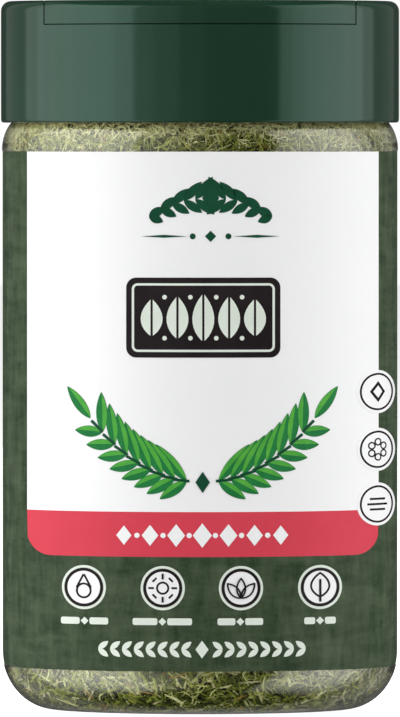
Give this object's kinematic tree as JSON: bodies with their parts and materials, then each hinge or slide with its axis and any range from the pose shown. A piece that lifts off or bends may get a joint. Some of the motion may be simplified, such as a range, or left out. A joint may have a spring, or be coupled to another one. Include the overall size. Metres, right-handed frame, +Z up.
{
  "type": "spice jar of dried herb",
  "caption": "Round clear plastic spice jar filled with chopped dried herb, wrapped in a printed film label, with a screw cap whose flip doors open onto sifting holes and a spoon opening.",
  "frame": {"origin": "middle of the base, on the surface that the jar stands on", "axes": "+Z up along the jar's axis; the front of the label faces -Y; +X to the right seen from the front"},
  "size_m": [0.061, 0.061, 0.1084],
  "materials": {
    "jar_plastic": "clear moulded polyester, glossy",
    "label_film": "printed film, satin",
    "dried_leaf": "dry chopped leaf, matte",
    "cap_plastic": "moulded polypropylene, satin gloss"
  },
  "bodies": {
    "jar_and_cap": {"jar": "jar_plastic", "label": "label_film", "dried_dill": "dried_leaf", "cap_body": "cap_plastic"},
    "sift_door": {"sift_door": "cap_plastic"},
    "spoon_door": {"spoon_door": "cap_plastic"}
  },
  "joints": [
    {"name": "sift_door_hinge", "type": "hinge", "parent": "jar_and_cap", "child": "sift_door", "pos_m": [0, -0.0045, 0.1084], "axis": [-1, 0, 0], "range_deg": [0, 98]},
    {"name": "spoon_door_hinge", "type": "hinge", "parent": "jar_and_cap", "child": "spoon_door", "pos_m": [0, 0.0045, 0.1084], "axis": [1, 0, 0], "range_deg": [0, 98]}
  ]
}
